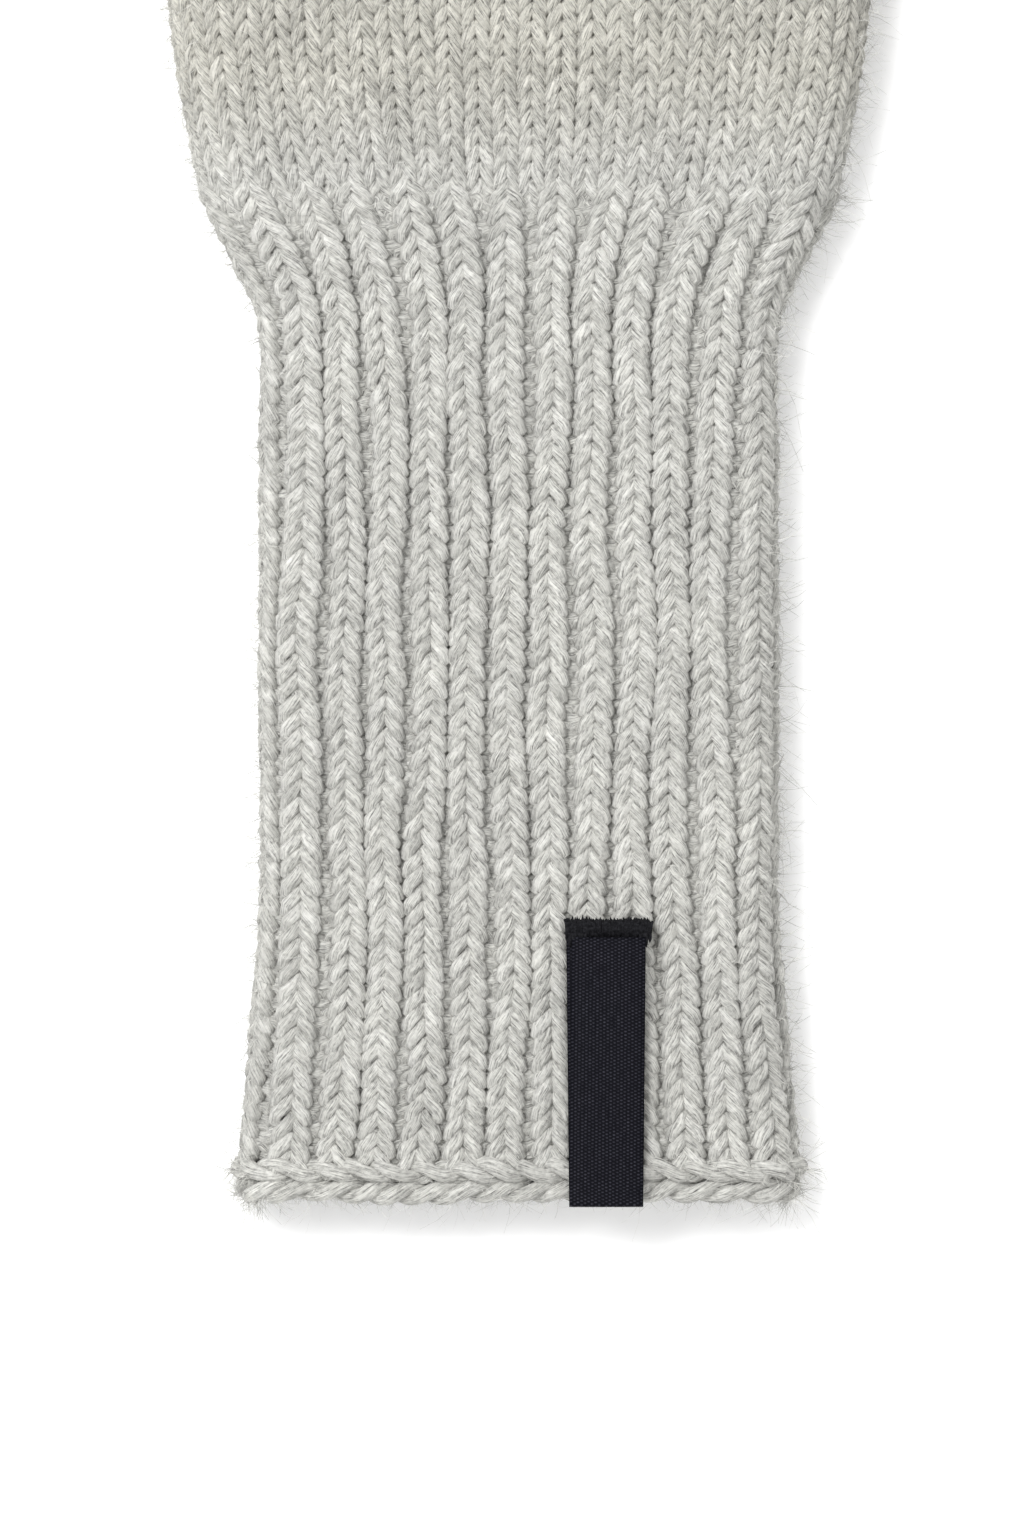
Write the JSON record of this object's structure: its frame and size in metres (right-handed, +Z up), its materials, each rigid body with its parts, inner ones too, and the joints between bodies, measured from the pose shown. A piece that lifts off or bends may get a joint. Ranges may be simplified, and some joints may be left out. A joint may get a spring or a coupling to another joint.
{
  "type": "knitted glove",
  "caption": "Long-cuffed knitted glove lying flat: rib cuff, plain-knit hand, hollow fingers and thumb, folded ribbon label sewn near the mouth; it bends at the wrist and fingers.",
  "frame": {"origin": "on the resting surface, under the middle of the wrist line where the rib cuff turns into the plain-knit hand", "axes": "+X across the hand towards the thumb, +Y from the cuff's mouth to the fingertips, +Z up out of the palm"},
  "size_m": [0.1536, 0.319, 0.017],
  "materials": {
    "plain_yarn": "heather grey wool-blend plain knit, soft and slightly fuzzy",
    "rib_yarn": "heather grey wool-blend one-by-one rib, plump and fuzzy",
    "edge_yarn": "heather grey wool-blend bound-off chain",
    "ribbon": "black satin woven ribbon, no lettering",
    "stitching": "black polyester overlock stitches"
  },
  "bodies": {
    "cuff": {"cuff": "rib_yarn", "cuff_edge": "edge_yarn", "label_bar_tack": "stitching"},
    "hand": {"wrist_rib": "rib_yarn", "hand": "plain_yarn"},
    "label": {"label": "ribbon"},
    "thumb_lower": {"thumb_lower": "plain_yarn"},
    "thumb_upper": {"thumb_upper": "plain_yarn", "thumb_tip": "plain_yarn"},
    "index_lower": {"index_lower": "plain_yarn"},
    "index_upper": {"index_upper": "plain_yarn", "index_tip": "plain_yarn"},
    "middle_lower": {"middle_lower": "plain_yarn"},
    "middle_upper": {"middle_upper": "plain_yarn", "middle_tip": "plain_yarn"},
    "ring_lower": {"ring_lower": "plain_yarn"},
    "ring_upper": {"ring_upper": "plain_yarn", "ring_tip": "plain_yarn"},
    "little_lower": {"little_lower": "plain_yarn"},
    "little_upper": {"little_upper": "plain_yarn", "little_tip": "plain_yarn"}
  },
  "joints": [
    {"name": "wrist", "type": "hinge", "parent": "cuff", "child": "hand", "pos_m": [0, -0.02, 0.0075], "axis": [1, 0, 0], "range_deg": [0, 60]},
    {"name": "thumb_base", "type": "hinge", "parent": "hand", "child": "thumb_lower", "pos_m": [0.06137, 0.05963, 0.00725], "axis": [0.7431, -0.6691, 0], "range_deg": [0, 70]},
    {"name": "thumb_middle", "type": "hinge", "parent": "thumb_lower", "child": "thumb_upper", "pos_m": [0.07872, 0.0789, 0.00725], "axis": [0.7431, -0.6691, 0], "range_deg": [0, 70]},
    {"name": "index_knuckle", "type": "hinge", "parent": "hand", "child": "index_lower", "pos_m": [0.03705, 0.095, 0.00675], "axis": [1, 0, 0], "range_deg": [0, 80]},
    {"name": "index_middle", "type": "hinge", "parent": "index_lower", "child": "index_upper", "pos_m": [0.03981, 0.13, 0.00675], "axis": [1, 0, 0], "range_deg": [0, 80]},
    {"name": "middle_knuckle", "type": "hinge", "parent": "hand", "child": "middle_lower", "pos_m": [0.01235, 0.095, 0.00675], "axis": [1, 0, 0], "range_deg": [0, 80]},
    {"name": "middle_middle", "type": "hinge", "parent": "middle_lower", "child": "middle_upper", "pos_m": [0.01337, 0.134, 0.00675], "axis": [1, 0, 0], "range_deg": [0, 80]},
    {"name": "ring_knuckle", "type": "hinge", "parent": "hand", "child": "ring_lower", "pos_m": [-0.01235, 0.095, 0.00675], "axis": [1, 0, 0], "range_deg": [0, 80]},
    {"name": "ring_middle", "type": "hinge", "parent": "ring_lower", "child": "ring_upper", "pos_m": [-0.01329, 0.131, 0.00675], "axis": [1, 0, 0], "range_deg": [0, 80]},
    {"name": "little_knuckle", "type": "hinge", "parent": "hand", "child": "little_lower", "pos_m": [-0.03705, 0.095, 0.00675], "axis": [1, 0, 0], "range_deg": [0, 80]},
    {"name": "little_middle", "type": "hinge", "parent": "little_lower", "child": "little_upper", "pos_m": [-0.03933, 0.124, 0.00675], "axis": [1, 0, 0], "range_deg": [0, 80]},
    {"name": "label_fold", "type": "hinge", "parent": "cuff", "child": "label", "pos_m": [0.0127, -0.1076, 0.01625], "axis": [-1, 0, 0], "range_deg": [0, 170]}
  ]
}
